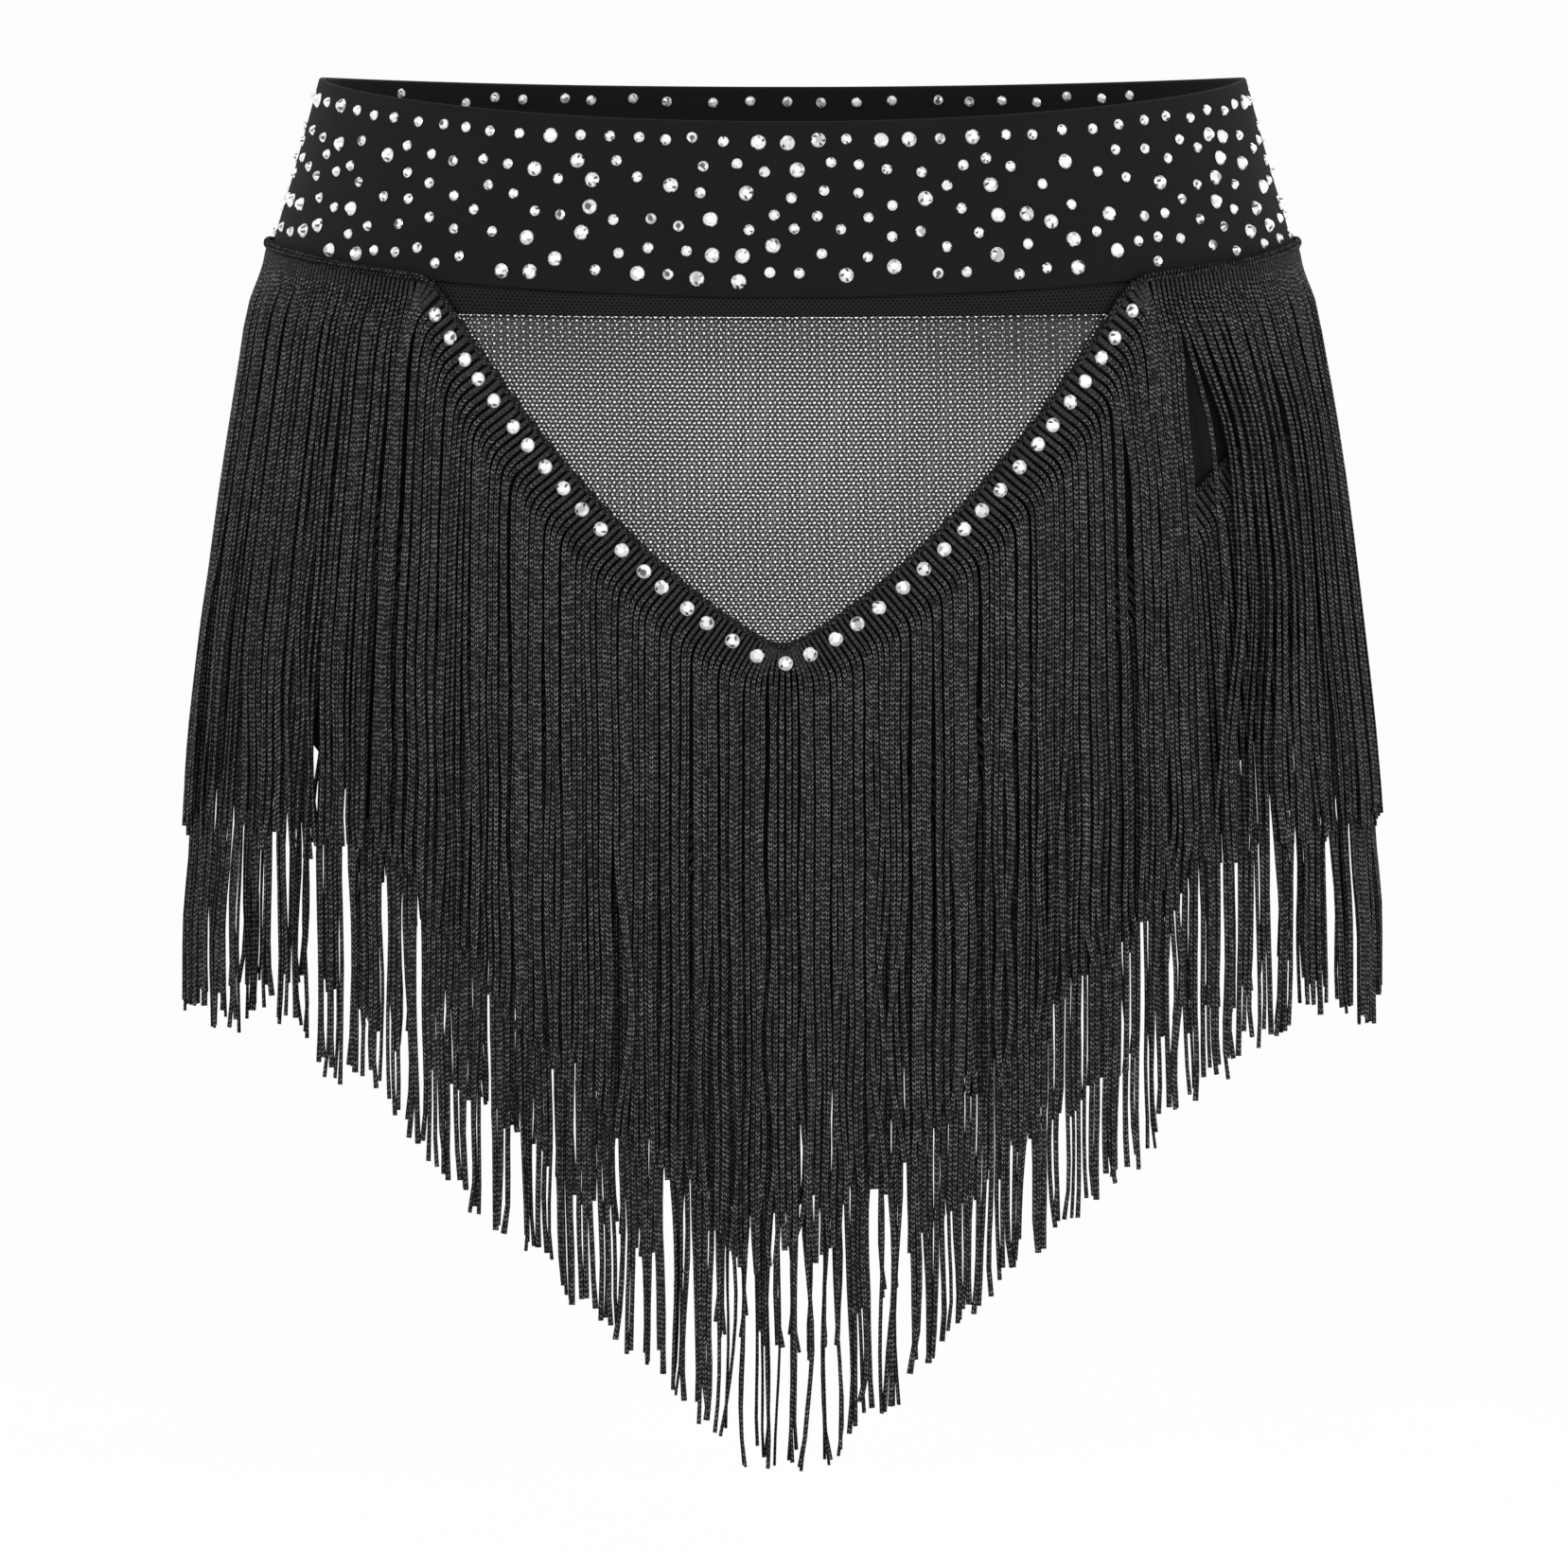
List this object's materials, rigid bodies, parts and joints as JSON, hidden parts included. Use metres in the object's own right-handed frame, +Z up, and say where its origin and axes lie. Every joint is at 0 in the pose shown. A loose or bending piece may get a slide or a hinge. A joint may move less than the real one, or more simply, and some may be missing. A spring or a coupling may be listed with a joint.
{
  "type": "latin dance shorts",
  "caption": "Black latin dance shorts with a stone-set waistband, sheer V insets and two tiers of long cord fringe that fall to a point.",
  "frame": {"origin": "centre of the waist, half way up the waistband at the side seams, where the wearer's body holds the shorts", "axes": "+Z up the body, +X towards the wearer's left, -Y towards the front"},
  "size_m": [0.3807, 0.2485, 0.4349],
  "materials": {
    "knit": "matte",
    "mesh": "matte",
    "binding": "matte",
    "cord": "satin",
    "stone": "polished"
  },
  "bodies": {
    "root": {"waistband_front": "knit", "waistband_back": "knit", "mesh_binding_front": "binding", "mesh_binding_back": "binding", "mesh_inset_front": "mesh", "mesh_inset_back": "mesh", "shorts_front_left": "knit", "shorts_front_right": "knit", "shorts_back_left": "knit", "shorts_back_right": "knit", "fringe_upper_front": "cord", "fringe_upper_back": "cord", "fringe_lower_front": "cord", "fringe_lower_back": "cord"}
  },
  "joints": []
}
